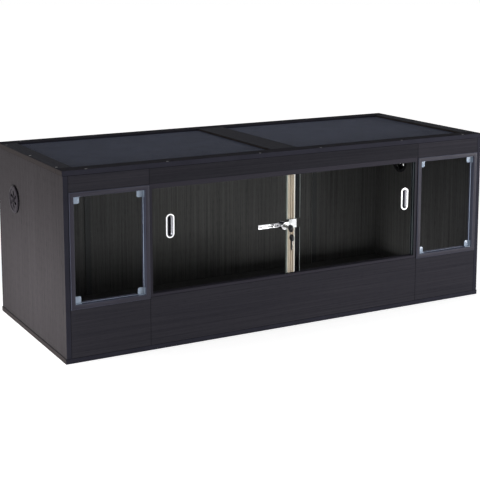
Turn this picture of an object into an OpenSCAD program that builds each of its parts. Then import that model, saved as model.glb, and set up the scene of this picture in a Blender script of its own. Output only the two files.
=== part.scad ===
// Terrarium cabinet: a long low box of dark laminated boards with a framed mesh top, two fixed
// front windows, two sliding glass doors with a showcase ratchet lock, and a round vent in each end.
// Origin: centre of the base's underside. X runs along the front, the front faces -Y, Z is up.

/* [Cabinet] */
// Overall width, across the base and the top
cabinet_w = 1200; // [1100:10:1500]
// Overall depth, across the base and the top
cabinet_d = 480; // [420:10:600]
// Overall height
cabinet_h = 450; // [430:10:560]
// Thickness of every board
board_t = 12; // [12:0.5:15]
// How far the base and the top stand out past each side board
side_overhang = 2; // [0:0.5:4]
// How far the back boards sit in from the rear edge
back_inset = 2; // [1.6:0.1:6]
// Width of each outer back board
back_side_w = 225; // [180:5:300]

/* [Front] */
// Width of each fixed front panel
front_panel_w = 199; // [180:1:230]
// Height of the rail under the doors
bottom_rail_h = 118; // [90:1:130]
// Height of the rail over the doors
top_rail_h = 37; // [30:1:50]

/* [Top frame and mesh] */
// Width of the four outer rails of the top
rail_w = 40; // [32:1:60]
// Width of the bar between the two mesh panels
centre_bar_w = 76; // [50:1:110]
// Depth of the mesh below the top surface
mesh_recess = 5; // [3:0.5:6]
// Thickness of the mesh
mesh_t = 1; // [0.8:0.1:1.5]
// Depth of the groove that the mesh sits in
groove_depth = 6; // [4:0.5:8]
// Play of the mesh in its groove, on each face
groove_play = 0.2; // [0.1:0.05:0.4]
// Gaps of one mesh panel along X
net_cols = 18; // [12:1:18]
// Gaps of one mesh panel along Y
net_rows = 8; // [6:1:8]
// Width of a mesh strand
net_strand = 3; // [2:0.5:5]

/* [Windows] */
// How far a window frame reaches past the doorway, above and below
window_over = 10; // [6:1:12]
// Clearance between a window frame and each edge of its front panel
window_margin = 1; // [0.5:0.5:5]
// Visible width of the window frame
window_band = 10.5; // [10:0.5:14]
// How far the frame laps over the front panel
window_lap = 8.5; // [6:0.5:9]
// How far the frame stands out of the front panel
window_proud = 2.5; // [1.5:0.5:4]
// Easing of the frame's outer front edge
window_ease = 0.8; // [0.4:0.1:1.2]
// Play of the frame in its cut-out, and of the pane in its frame
window_play = 0.3; // [0.2:0.05:0.5]
// Depth of a window pane below the face of its front panel
pane_recess = 9; // [6:0.5:10]
// Thickness of a window pane
pane_t = 3; // [2:0.5:4]
// Width of the lip behind a window pane
pane_lip = 3; // [2:0.5:5]
// Thickness of that lip
pane_lip_t = 2; // [1:0.5:3]
// Side length of a corner clip
clip_size = 17; // [12:1:22]
// Thickness of a corner clip over the pane
clip_t = 1.4; // [1:0.1:1.5]
// Thickness of a corner clip's two upstands
clip_wall = 1.2; // [0.8:0.1:1.5]
// Reach of those upstands in front of the pane
clip_reach = 7; // [3:0.5:8]

/* [Sliding doors] */
// Thickness of the door glass
glass_t = 4; // [4:0.5:5]
// Gap between the two panes of glass
pane_gap = 5.8; // [5.8:0.1:8]
// How far the doors overlap when both are closed
door_overlap = 32; // [28:1:50]
// Middle of the overlap, to the right of the cabinet's centre
door_meet_x = 1; // [-10:0.5:10]
// Play of the glass in its groove, on each face
glass_play = 0.4; // [0.3:0.05:0.6]
// Gap under and beside the glass at rest
glass_seat = 0.3; // [0.2:0.05:0.5]
// Room above the glass, to lift a door out
lift_room = 5.2; // [5.1:0.1:5.8]
// Thickness of the outer walls of the tracks and jambs
track_wall = 1.3; // [1:0.1:1.5]
// Setback of the tracks from the front face
track_setback = 0.8; // [0.5:0.1:1]
// Thickness of the web of the tracks and jambs
track_web = 2; // [1.5:0.25:2.25]
// Height of the lower track
lower_track_h = 7; // [6.5:0.25:7]
// Height of the upper track
upper_track_h = 12; // [11.5:0.5:16]
// Width of a door jamb, across the opening
jamb_w = 7; // [6:0.5:10]

/* [Finger pulls] */
// Width of a finger pull
pull_w = 22; // [20:1:26]
// Height of a finger pull
pull_h = 59; // [50:1:60]
// Width of the pull's rim
pull_rim = 3.5; // [3:0.25:4.5]
// Part of the rim that laps over the glass
pull_lap = 2; // [1.5:0.25:2.25]
// How far the rim stands out of the glass
pull_proud = 0.8; // [0.5:0.1:1]
// Thickness of the pull's floor
pull_floor = 0.6; // [0.5:0.1:0.8]
// Play of the pull in the hole in the glass
pull_play = 0.1; // [0.05:0.05:0.3]
// Left pull's centre from the outer edge of its door
left_pull_inset = 56; // [35:1:80]
// Right pull's centre from the outer edge of its door
right_pull_inset = 37; // [35:1:80]
// Height of the pulls above the middle of the doors
pull_raise = 30; // [20:1:45]

/* [Door seal] */
// Width of the ribbed seal
seal_w = 26; // [22:1:30]
// Thickness of the seal's flat back
seal_t = 1; // [0.8:0.1:1.2]
// Number of ribs
seal_ribs = 5; // [3:1:6]
// Thickness of a rib
rib_t = 1; // [0.8:0.1:1.5]
// Clearance between the ribs and the front glass
rib_gap = 0.3; // [0.2:0.05:0.6]
// Reach of the fin past the glass
seal_fin = 14; // [8:0.5:15]
// Thickness of the fin
fin_t = 0.6; // [0.4:0.1:0.8]
// Diameter of the bead on the fin's edge
fin_bead_d = 1.6; // [1.2:0.1:1.8]
// Width of the seal's rear leg
seal_leg = 10; // [6:1:14]

/* [Ratchet lock] */
// Length of the bar, from the edge of its door
bar_l = 108; // [100:1:125]
// Height of the bar
bar_h = 11; // [11:0.5:12]
// Thickness of the bar
bar_t = 1.6; // [1.5:0.1:1.8]
// Gap between the bar and the back of the front glass
bar_gap = 1.5; // [1.2:0.1:1.6]
// Width of the bar's hook plate
hook_w = 20; // [16:1:22]
// Height of the bar's hook plate
hook_h = 22; // [18:1:24]
// Reach of the hook behind its door
hook_lip = 12; // [8:1:16]
// Play of the hook round the glass
hook_play = 0.2; // [0.1:0.05:0.4]
// Distance of the pad's edges inside the hook plate's edges
pad_inset = 1; // [0.5:0.25:2]
// Gap between the hook plate and each half of the seal
hook_gap = 1; // [0.5:0.5:3]
// Distance between two notches of the bar
notch_pitch = 5; // [5:0.5:6]
// Width of a notch
notch_w = 3.5; // [3.4:0.1:3.8]
// Height of a notch
notch_h = 5.2; // [5:0.1:5.4]
// Depth of the notches and of the slideway over them
notch_depth = 0.8; // [0.75:0.05:0.9]
// Height of the slideway over the notches
slideway_h = 2.4; // [2.3:0.05:2.5]
// Diameter of the lock's barrel
barrel_d = 19; // [18:0.5:21]
// How far the barrel stands out of the front face
barrel_out = 10; // [6:1:16]
// Play of the bar in the barrel's slot
slot_play = 0.1; // [0.05:0.05:0.2]
// Thickness of the barrel behind the bar
barrel_back = 1; // [0.8:0.1:1.1]
// Diameter of the lock's plug
plug_d = 11; // [10.5:0.1:11.5]
// Play round the plug
plug_play = 0.08; // [0.05:0.01:0.1]
// Diameter of the locking nose on the plug
nose_d = 1.6; // [1.4:0.1:1.6]
// Distance of the locking nose from the plug's axis
nose_r = 3.8; // [3.7:0.05:3.8]
// Play beside the nose in a notch
nose_play = 0.2; // [0.15:0.01:0.22]
// How far the nose reaches into the bar
nose_reach = 0.6; // [0.5:0.05:0.65]

/* [Keys] */
// Height of a key's blade
blade_h = 7; // [5:0.5:7.5]
// Thickness of a key's blade
blade_t = 2; // [1.5:0.1:2.2]
// Depths of the cuts along a blade, from its tip
key_cuts = [1.6, 1.0, 1.9, 1.3, 1.7];
// Length of the key between the lock and its head
key_reach = 16.5; // [10:0.5:22]
// Length of the key inside the plug
key_insert = 13; // [10:1:16]
// Diameter of the key's head
key_head_d = 20; // [18:0.5:22]
// Diameter of the spare key's head
spare_head_d = 18; // [16:0.5:20]
// Length of the spare key's blade
spare_blade_l = 22; // [16:1:26]
// Thickness of both heads
head_t = 4.5; // [4:0.25:4.5]
// Bevel round both faces of a head
head_bevel = 1.1; // [0.5:0.1:1.5]
// Share of a head's diameter that its flattened sides leave
head_flat = 0.86; // [0.8:0.01:0.95]
// Diameter of the hole in a head
head_hole_d = 5; // [4.5:0.25:5]
// Material outside the hole in a head
head_edge = 2.2; // [1.8:0.1:2.6]
// Length of the blade's tang inside a head
tang_l = 5; // [3:0.5:6]
// Diameter of the key ring, to the middle of its wire
ring_d = 16; // [15:0.5:20]
// Thickness of the ring's wire
ring_wire = 1.4; // [1.2:0.1:1.4]
// Gap between the ring's wire and the holes that it hangs in
ring_seat = 0.6; // [0.5:0.05:0.7]

/* [Vents] */
// Diameter of a vent's flange
vent_d = 70; // [66:1:80]
// Vent's centre from the front face
vent_from_front = 348; // [200:5:370]
// Height of a vent's centre
vent_z = 323; // [200:1:380]
// Diameter of the hole through the side board
vent_hole_d = 58; // [56:1:60]
// Height of the outer flange
vent_proud = 5; // [3.5:0.25:6]
// Height of the inner flange
liner_proud = 2.5; // [1.5:0.25:4]
// Wall of the vent's sleeves
sleeve_wall = 1.8; // [1.4:0.1:2]
// Play between sleeve, hole and liner
sleeve_play = 0.2; // [0.1:0.05:0.3]
// Depth of the grille below the flange's face
grille_recess = 1.2; // [0.8:0.1:1.5]
// Thickness of the grille and of the shutter
grille_t = 1.5; // [1.2:0.1:1.6]
// Gap between the grille and the shutter
shutter_gap = 0.3; // [0.2:0.05:0.4]
// How far the flange's sleeve stops short of the board's inner face
sleeve_short = 3; // [1:0.5:5]
// Length of the liner inside the board
liner_l = 6; // [4:0.5:7]
// Number of petals in the grille
petals = 6; // [5:1:6]
// Length of a petal
petal_l = 16; // [14:0.5:17]
// Width of a petal
petal_w = 7; // [6:0.5:7.5]
// Tilt of a petal from the radius
petal_tilt = 24; // [0:2:30]
// Diameter of the shutter's hub
hub_d = 8; // [7:0.5:9]
// Play round the hub
hub_play = 0.08; // [0.05:0.01:0.1]
// Diameter of the shutter's knob
knob_d = 15; // [13:0.5:16]
// Height of the knob's grip
grip_h = 2; // [1.5:0.25:3]
// Thickness of the knob's grip
grip_t = 3.2; // [2.5:0.1:4]

/* [Back joints] */
// Width of the strip's cheeks over the joints of the back
strip_w = 16; // [12:1:24]
// Thickness of the strip's cheeks
strip_cheek = 1.5; // [1:0.1:1.5]
// Thickness of the strip's web between two boards
strip_web = 2; // [1:0.5:3]

/* [Fasteners] */
// Diameter of a screw
screw_d = 3.4; // [3:0.1:4]
// Length of a screw
screw_l = 34; // [28:1:40]
// Diameter of a screw's head
screw_head_d = 7; // [6.5:0.1:8]
// Depth of a screw's head below the surface
screw_sink = 0.3; // [0.2:0.05:0.6]
// Distance of the outermost screws from the side boards
panel_screw_inset = 46; // [30:1:70]
// Distance of the next screws from the ends of the front rails
rail_screw_inset = 50; // [30:1:90]
// Distance of the middle screws from the cabinet's centre
middle_screw_x = 88; // [60:1:150]
// Distance of the outer side screws from the ends of the side rails
side_screw_inset = 16; // [10:1:60]
// Diameter of a dowel
dowel_d = 6; // [5:0.5:6.5]
// Length of a dowel
dowel_l = 20; // [14:1:20]
// Distance of the dowels from the ends of an edge
dowel_inset = 9; // [7:1:11]
// Play round screws and dowels
fit_play = 0.1; // [0.05:0.05:0.2]

/* [Hidden] */
$fn = 64;
// Sliver by which joined shapes run into each other
eps = 0.01;
// How far a cutting shape runs past the face that it cuts
over = 1;

// Faces of the boards
side_x = cabinet_w / 2 - side_overhang;
inner_x = side_x - board_t;
rail_x = inner_x - front_panel_w;
front_y = -cabinet_d / 2;
back_y = cabinet_d / 2 - back_inset;
top_z = cabinet_h - board_t;
back_joint_x = inner_x - back_side_w;

// Door opening
lower_track_z = board_t + bottom_rail_h;
opening_z0 = lower_track_z + lower_track_h;
upper_track_z = top_z - top_rail_h;
opening_z1 = upper_track_z - upper_track_h;
middle_z = (opening_z0 + opening_z1) / 2;
groove_w = glass_t + 2 * glass_play;
divider_w = pane_gap - 2 * glass_play;
track_d = 2 * track_wall + 2 * groove_w + divider_w;
track_y = front_y + track_setback;
front_glass_y = track_y + track_wall + glass_play;
rear_glass_y = front_glass_y + glass_t + pane_gap;
door_outer_x = rail_x - track_web - glass_seat;
front_door_edge = door_meet_x - door_overlap / 2;
rear_door_edge = door_meet_x + door_overlap / 2;
glass_z0 = lower_track_z + track_web + glass_seat;
glass_z1 = upper_track_z - track_web - lift_room;
pull_z = middle_z + pull_raise;
left_pull_x = -door_outer_x + left_pull_inset;
right_pull_x = door_outer_x - right_pull_inset;

// Windows
window_x = inner_x - front_panel_w / 2;
window_frame_w = front_panel_w - 2 * window_margin;
window_frame_h = opening_z1 - opening_z0 + 2 * window_over;

// Lock
lock_z = middle_z;
barrel_x = front_door_edge - glass_seat - barrel_d / 2;
barrel_y = front_y - barrel_out;
bar_y = front_glass_y + glass_t + bar_gap;
bar_x = rear_door_edge - bar_l;
barrel_rear_y = bar_y + bar_t + slot_play + barrel_back;
slot_y = bar_y - slot_play;
notch_x = barrel_x + nose_r + nose_d / 2 + nose_play - notch_w;

// Keys: the heads stand upright, with the holes near their outer ends
head_y = barrel_y - key_reach - key_head_d / 2;
ring_y = head_y - key_head_d / 2 + head_edge + head_hole_d / 2;
ring_top_z = lock_z - head_hole_d / 2 + ring_wire / 2 + ring_seat;
ring_z = ring_top_z - ring_d / 2;
spare_hole_z = ring_z - ring_d / 2 + ring_wire / 2 + ring_seat - head_hole_d / 2;
spare_head_z = spare_hole_z + head_hole_d / 2 + head_edge - spare_head_d / 2;

// Vents
vent_y = front_y + vent_from_front;
sleeve_r = vent_hole_d / 2 - sleeve_play;
sleeve_inner_r = sleeve_r - sleeve_wall;
petal_r = (sleeve_inner_r + hub_d / 2) / 2;

// Screw places, as [x, y]
front_screw_y = front_y + board_t / 2;
back_screw_y = back_y - board_t / 2;
side_screw_x = side_x - board_t / 2;
side_screw_y = cabinet_d / 2 - rail_w - side_screw_inset;
row_x = [middle_screw_x, rail_x - rail_screw_inset, inner_x - panel_screw_inset];
screw_places = concat(
    [for (side = [-1, 1]) for (x = row_x) for (y = [front_screw_y, back_screw_y]) [side * x, y]],
    [for (side = [-1, 1]) for (y = [-side_screw_y, 0, side_screw_y]) [side * side_screw_x, y]]
);

// Dowel places, as [x, y, z] of the joint that each dowel crosses
rail_dowel_z = [
    board_t + dowel_inset, lower_track_z - dowel_inset,
    upper_track_z + dowel_inset, top_z - dowel_inset
];
back_dowel_z = [top_z / 4, top_z / 2, top_z * 3 / 4];
dowel_places = concat(
    [for (side = [-1, 1]) for (z = rail_dowel_z) [side * rail_x, front_screw_y, z]],
    [for (side = [-1, 1]) for (z = back_dowel_z) [side * inner_x, back_screw_y, z]]
);

// Whether a value lies inside a span
function inside(v, lo, hi) = v > lo && v < hi;

// A block from its lowest to its highest corner
module block(lo, hi) {
    translate(lo) cube(hi - lo);
}

// Turns a shape drawn upwards so that it faces the front
module facing_front(x, y, z) {
    translate([x, y, z]) rotate([90, 0, 0]) children();
}

// Mirrors a left-hand shape to the right side
module on_side(side) {
    if (side > 0) mirror([1, 0, 0]) children();
    else children();
}

module stadium(w, h) {
    square([w, h - w], center = true);
    for (s = [-1, 1]) translate([0, s * (h - w) / 2]) circle(d = w);
}

// ---- Fasteners and their holes ----

module screw(play = 0) {
    head_h = (screw_head_d - screw_d) / 2;
    rotate_extrude() polygon([
        [0, play > 0 ? screw_sink + eps : 0],
        [screw_head_d / 2 + play, play > 0 ? screw_sink + eps : 0],
        [screw_head_d / 2 + play, 0],
        [screw_d / 2 + play, -head_h],
        [screw_d / 2 + play, -screw_l + screw_d - play],
        [0, -screw_l - play]
    ]);
}

// Screws down through the top, or up through the base, at the places inside a rectangle
module top_screw_set(play, x0, x1, y0, y1) {
    for (p = screw_places) if (inside(p.x, x0, x1) && inside(p.y, y0, y1))
        translate([p.x, p.y, cabinet_h - screw_sink]) screw(play);
}

module base_screw_set(play, x0, x1, y0, y1) {
    for (p = screw_places) if (inside(p.x, x0, x1) && inside(p.y, y0, y1))
        translate([p.x, p.y, screw_sink]) mirror([0, 0, 1]) screw(play);
}

module dowel_set(play, x0, x1, y0, y1) {
    for (p = dowel_places) if (inside(p.x, x0 - eps, x1 + eps) && inside(p.y, y0, y1))
        translate(p) rotate([0, 90, 0])
            cylinder(d = dowel_d + 2 * play, h = dowel_l + 4 * play, center = true);
}

// A board with the holes of every screw and dowel that meets it
module board(lo, hi) {
    difference() {
        block(lo, hi);
        top_screw_set(fit_play, lo.x, hi.x, lo.y, hi.y);
        base_screw_set(fit_play, lo.x, hi.x, lo.y, hi.y);
        dowel_set(fit_play, lo.x, hi.x, lo.y, hi.y);
        children();
    }
}

// ---- Carcass ----

module base_panel() {
    color([0.17, 0.16, 0.18])
    board([-cabinet_w / 2, front_y, 0], [cabinet_w / 2, -front_y, board_t]);
}

// A side board stands between the base and the top, with the round hole of its vent
module side_panel(side) {
    color([0.27, 0.25, 0.25])
    on_side(side)
    board([-side_x, front_y, board_t], [-inner_x, -front_y, top_z])
        translate([-side_x - over, vent_y, vent_z]) rotate([0, 90, 0])
            cylinder(d = vent_hole_d, h = board_t + 2 * over);
}

// The back is three boards side by side, with a strip in each joint
module back_panel(x0, x1) {
    color([0.15, 0.16, 0.15])
    board([x0, back_y - board_t, board_t], [x1, back_y, top_z]);
}

module back_joint_strips() {
    color([0.20, 0.20, 0.21])
    for (side = [-1, 1]) translate([side * back_joint_x, 0, board_t])
    linear_extrude(top_z - board_t) {
        translate([-strip_web / 2, back_y - board_t]) square([strip_web, board_t]);
        for (y = [back_y, back_y - board_t - strip_cheek])
            translate([-strip_w / 2, y]) square([strip_w, strip_cheek]);
    }
}

// ---- Front ----

// A fixed front panel, with the cut-out that its window frame drops into
module front_panel(side) {
    cut_w = window_frame_w - 2 * window_lap;
    cut_h = window_frame_h - 2 * window_lap;
    color([0.15, 0.14, 0.16])
    on_side(side)
    board([-inner_x, front_y, board_t], [-rail_x, front_y + board_t, top_z])
        translate([-window_x - cut_w / 2, front_y - over, middle_z - cut_h / 2])
            cube([cut_w, board_t + 2 * over, cut_h]);
}

module front_top_rail() {
    color([0.15, 0.14, 0.16])
    board([-rail_x, front_y, upper_track_z], [rail_x, front_y + board_t, top_z]);
}

module front_bottom_rail() {
    color([0.15, 0.14, 0.16])
    board([-rail_x, front_y, board_t], [rail_x, front_y + board_t, lower_track_z]);
}

// ---- Top frame and mesh ----

// The openings of the top, and the grooves round them, of one mesh panel
module mesh_space(side, grow, z0, z1) {
    on_side(side)
    block([-cabinet_w / 2 + rail_w - grow, front_y + rail_w - grow, z0],
          [-centre_bar_w / 2 + grow, -front_y - rail_w + grow, z1]);
}

module mesh_grooves() {
    groove_z = cabinet_h - mesh_recess - mesh_t - groove_play;
    for (side = [-1, 1])
        mesh_space(side, groove_depth, groove_z, groove_z + mesh_t + 2 * groove_play);
}

module top_rail(lo, hi) {
    color([0.14, 0.14, 0.15])
    board([lo.x, lo.y, top_z], [hi.x, hi.y, cabinet_h]) mesh_grooves();
}

module top_front_rail() {
    top_rail([-cabinet_w / 2, front_y], [cabinet_w / 2, front_y + rail_w]);
}

module top_back_rail() {
    top_rail([-cabinet_w / 2, -front_y - rail_w], [cabinet_w / 2, -front_y]);
}

module top_left_rail() {
    top_rail([-cabinet_w / 2, front_y + rail_w], [-cabinet_w / 2 + rail_w, -front_y - rail_w]);
}

module top_right_rail() {
    top_rail([cabinet_w / 2 - rail_w, front_y + rail_w], [cabinet_w / 2, -front_y - rail_w]);
}

module top_centre_bar() {
    top_rail([-centre_bar_w / 2, front_y + rail_w], [centre_bar_w / 2, -front_y - rail_w]);
}

// A mesh panel: a thin net whose solid border fills the groove
module mesh(side) {
    open_w = cabinet_w / 2 - rail_w - centre_bar_w / 2;
    open_d = cabinet_d - 2 * rail_w;
    border = groove_depth - 2 * groove_play;
    gap_w = (open_w - (net_cols - 1) * net_strand) / net_cols;
    gap_d = (open_d - (net_rows - 1) * net_strand) / net_rows;
    color([0.23, 0.24, 0.27])
    translate([side * (centre_bar_w / 2 + open_w / 2), 0, cabinet_h - mesh_recess - mesh_t])
    linear_extrude(mesh_t) difference() {
        square([open_w + 2 * border, open_d + 2 * border], center = true);
        for (col = [0 : net_cols - 1]) for (row = [0 : net_rows - 1])
            translate([-open_w / 2 + col * (gap_w + net_strand), -open_d / 2 + row * (gap_d + net_strand)])
                square([gap_w, gap_d]);
    }
}

// ---- Windows ----

// A one-piece frame: a flange over the panel, a sleeve through the cut-out and a lip behind the pane
module window_frame(side) {
    outer = [window_frame_w, window_frame_h];
    sight = outer - 2 * [window_band, window_band];
    sleeve = outer - 2 * [window_lap + window_play, window_lap + window_play];
    behind = sight - 2 * [pane_lip, pane_lip];
    pane_back = pane_recess + pane_t;
    depth = pane_back + pane_lip_t;
    color([0.25, 0.24, 0.28])
    facing_front(side * window_x, front_y, middle_z) difference() {
        union() {
            hull() {
                linear_extrude(window_proud - window_ease) square(outer, center = true);
                linear_extrude(window_proud)
                    square(outer - 2 * [window_ease, window_ease], center = true);
            }
            translate([0, 0, -depth]) linear_extrude(depth + eps) square(sleeve, center = true);
        }
        translate([0, 0, -depth - over]) linear_extrude(depth + 2 * over) square(behind, center = true);
        translate([0, 0, -pane_back])
            linear_extrude(pane_back + window_proud + over) square(sight, center = true);
    }
}

module window_pane(side) {
    pane_w = window_frame_w - 2 * (window_band + window_play);
    pane_h = window_frame_h - 2 * (window_band + window_play);
    color([0.75, 0.82, 0.85, 0.3])
    facing_front(side * window_x, front_y + pane_recess + pane_t, middle_z)
        linear_extrude(pane_t) square([pane_w, pane_h], center = true);
}

// Four clear corner clips: a plate on the pane, rounded off at its free corner, with two upstands
// along the sleeve of the frame
module window_clips(side) {
    corner = [window_frame_w / 2 - window_band - window_play,
              window_frame_h / 2 - window_band - window_play];
    round_r = clip_size / 4;
    color([0.80, 0.87, 0.95, 0.6])
    facing_front(side * window_x, front_y + pane_recess, middle_z)
    for (sx = [-1, 1]) for (sz = [-1, 1])
        mirror([sx < 0 ? 1 : 0, 0, 0]) mirror([0, sz < 0 ? 1 : 0, 0])
        translate([corner.x - clip_size, corner.y - clip_size]) {
            linear_extrude(clip_t) difference() {
                square(clip_size);
                difference() {
                    square(round_r);
                    translate([round_r, round_r]) circle(r = round_r);
                }
            }
            linear_extrude(clip_reach) {
                translate([clip_size - clip_wall, 0]) square([clip_wall, clip_size]);
                translate([0, clip_size - clip_wall]) square([clip_size, clip_wall]);
            }
        }
}

// ---- Tracks and jambs ----

// Section of a double channel: a web with an outer wall on each side and a divider, by its depth
module double_channel(height) {
    square([track_d, track_web]);
    for (y = [0, track_d - track_wall]) translate([y, 0]) square([track_wall, height]);
    translate([track_wall + groove_w, 0]) square([divider_w, height]);
}

// Lays a section, drawn as [depth, height], along X over the width between the front panels
module along_front(z) {
    translate([-rail_x, track_y, z]) rotate([90, 0, 90]) linear_extrude(2 * rail_x) children();
}

module lower_door_track() {
    color([0.13, 0.13, 0.14]) along_front(lower_track_z) double_channel(lower_track_h);
}

module upper_door_track() {
    color([0.13, 0.13, 0.14])
    along_front(upper_track_z) mirror([0, 1]) double_channel(upper_track_h);
}

module door_jamb(side) {
    color([0.20, 0.21, 0.24])
    on_side(side)
    translate([-rail_x, track_y, opening_z0]) linear_extrude(opening_z1 - opening_z0)
        mirror([1, 0]) rotate(90) double_channel(jamb_w);
}

// ---- Sliding doors ----

// Outline of the hole that a finger pull sits in
module pull_hole() {
    stadium(pull_w - 2 * pull_lap, pull_h - 2 * pull_lap);
}

module door_glass(x0, x1, y, pull_x) {
    color([0.70, 0.80, 0.82, 0.25])
    difference() {
        block([x0, y, glass_z0], [x1, y + glass_t, glass_z1]);
        facing_front(pull_x, y + glass_t + over, pull_z) linear_extrude(glass_t + 2 * over) pull_hole();
    }
}

// The left door runs in the rear groove, the right door in the front groove
module left_door_glass() {
    door_glass(-door_outer_x, rear_door_edge, rear_glass_y, left_pull_x);
}

module right_door_glass() {
    door_glass(front_door_edge, door_outer_x, front_glass_y, right_pull_x);
}

// A finger pull: a shallow cup through the glass, flush behind it, with a rim over its front
module finger_pull(x, glass_y) {
    body_w = pull_w - 2 * (pull_lap + pull_play);
    body_h = pull_h - 2 * (pull_lap + pull_play);
    cup_w = pull_w - 2 * pull_rim;
    cup_h = pull_h - 2 * pull_rim;
    color([0.85, 0.86, 0.88])
    facing_front(x, glass_y + glass_t, pull_z) difference() {
        union() {
            linear_extrude(glass_t) stadium(body_w, body_h);
            translate([0, 0, glass_t]) linear_extrude(pull_proud) stadium(pull_w, pull_h);
        }
        translate([0, 0, pull_floor]) linear_extrude(glass_t + pull_proud) stadium(cup_w, cup_h);
    }
}

// The seal clips round the edge of the rear glass. Its ribs fill the gap between the doors,
// and it is cut away where the hook of the lock passes.
module door_seal() {
    rib_reach = rear_glass_y - seal_t - front_glass_y - glass_t - rib_gap;
    rib_step = (seal_w - rib_t) / (seal_ribs - 1);
    leg_y = rear_glass_y + glass_t;
    lip_x = rear_door_edge + seal_t;
    fin_y = rear_glass_y - seal_t + fin_t / 2;
    fin_end_x = rear_door_edge + seal_fin - fin_bead_d / 2;
    half_cut = hook_h / 2 + hook_gap;
    color([0.88, 0.88, 0.84, 0.6])
    for (span = [[opening_z0 + glass_seat, lock_z - half_cut], [lock_z + half_cut, opening_z1 - glass_seat]])
    translate([0, 0, span[0]]) linear_extrude(span[1] - span[0]) {
        translate([rear_door_edge - seal_w, rear_glass_y - seal_t]) square([seal_w + seal_t, seal_t]);
        for (i = [0 : seal_ribs - 1])
            translate([rear_door_edge - seal_w + i * rib_step, rear_glass_y - seal_t - rib_reach])
                square([rib_t, rib_reach + eps]);
        translate([rear_door_edge, rear_glass_y - seal_t]) square([seal_t, glass_t + 2 * seal_t]);
        translate([lip_x - seal_leg, leg_y]) square([seal_leg, seal_t]);
        translate([lip_x - eps, fin_y - fin_t / 2]) square([fin_end_x - lip_x, fin_t]);
        translate([fin_end_x, fin_y]) circle(d = fin_bead_d);
    }
}

// ---- Ratchet lock ----

// A flat bar with a row of notches and a plain slideway over them. Its wide end is folded into
// a hook round the edge of the rear glass.
module ratchet_bar() {
    hook_x = rear_door_edge + hook_play;
    hook_rear_y = rear_glass_y + glass_t + hook_play;
    first = ceil((bar_x + notch_pitch / 2 - notch_x) / notch_pitch);
    last = floor((rear_door_edge - hook_w - notch_w - notch_x) / notch_pitch);
    color([0.86, 0.87, 0.90])
    difference() {
        union() {
            block([bar_x, bar_y, lock_z - bar_h / 2], [rear_door_edge, bar_y + bar_t, lock_z + bar_h / 2]);
            block([rear_door_edge - hook_w, bar_y, lock_z - hook_h / 2],
                  [hook_x + bar_t, bar_y + bar_t, lock_z + hook_h / 2]);
            block([hook_x, bar_y, lock_z - hook_h / 2],
                  [hook_x + bar_t, hook_rear_y + bar_t, lock_z + hook_h / 2]);
            block([hook_x + bar_t - hook_lip, hook_rear_y, lock_z - hook_h / 2],
                  [hook_x + bar_t, hook_rear_y + bar_t, lock_z + hook_h / 2]);
        }
        for (i = [first : last])
            translate([notch_x + i * notch_pitch, bar_y - over, lock_z - notch_h / 2])
                cube([notch_w, over + notch_depth, notch_h]);
        block([bar_x - over, bar_y - over, lock_z + notch_h / 2 - eps],
              [rear_door_edge - hook_w, bar_y + notch_depth, lock_z + notch_h / 2 + slideway_h]);
    }
}

// The pad that spaces the bar off the rear glass
module hook_pad() {
    half_h = hook_h / 2 - pad_inset;
    color([0.12, 0.12, 0.13])
    block([rear_door_edge - hook_w, bar_y + bar_t, lock_z - half_h],
          [rear_door_edge, rear_glass_y, lock_z + half_h]);
}

// The barrel slides along the bar and butts against the edge of the front glass
module lock_barrel() {
    length = barrel_rear_y - barrel_y;
    bevel = 1;
    dish_r = plug_d / 2 + 1.4;
    dish_depth = 0.6;
    color([0.84, 0.85, 0.88])
    difference() {
        facing_front(barrel_x, barrel_rear_y, lock_z) rotate_extrude() polygon([
            [0, 0], [barrel_d / 2, 0], [barrel_d / 2, length - bevel],
            [barrel_d / 2 - bevel, length], [dish_r, length],
            [dish_r, length - dish_depth], [0, length - dish_depth]
        ]);
        facing_front(barrel_x, slot_y + eps, lock_z)
            cylinder(d = plug_d + 2 * plug_play, h = length + over);
        block([barrel_x - barrel_d, slot_y, lock_z - bar_h / 2 - slot_play],
              [barrel_x + barrel_d, bar_y + bar_t + slot_play, lock_z + bar_h / 2 + slot_play]);
    }
}

// The plug turns with the key. Its nose moves from the slideway into a notch and locks the barrel.
module lock_plug() {
    plug_rear_y = slot_y - 2 * slot_play;
    length = plug_rear_y - barrel_y;
    color([0.78, 0.79, 0.82])
    difference() {
        union() {
            facing_front(barrel_x, plug_rear_y, lock_z) cylinder(d = plug_d, h = length);
            facing_front(barrel_x, bar_y + nose_reach, lock_z + nose_r)
                cylinder(d = nose_d, h = bar_y + nose_reach - plug_rear_y + over, $fn = 24);
        }
        block([barrel_x - blade_t / 2 - slot_play, barrel_y - over, lock_z - blade_h / 2 - slot_play],
              [barrel_x + blade_t / 2 + slot_play, barrel_y + key_insert + slot_play,
               lock_z + blade_h / 2 + slot_play]);
    }
}

// ---- Keys ----

// A key's blade, drawn in a plane with its tip towards +X, with cuts along its lower edge
module key_outline(length) {
    tip = 1.5;
    first_cut = 2.5;
    cut_pitch = 2.4;
    cut_w = 2.2;
    cut_root_w = 0.6;
    difference() {
        polygon([
            [-tang_l, -blade_h / 2], [length - tip, -blade_h / 2], [length, -blade_h / 2 + tip],
            [length, blade_h / 2 - tip], [length - tip, blade_h / 2], [-tang_l, blade_h / 2]
        ]);
        for (i = [0 : len(key_cuts) - 1])
            translate([length - first_cut - i * cut_pitch, -blade_h / 2]) polygon([
                [-cut_w / 2, -eps], [cut_w / 2, -eps], [cut_root_w / 2, key_cuts[i]],
                [-cut_root_w / 2, key_cuts[i]]
            ]);
    }
}

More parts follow.
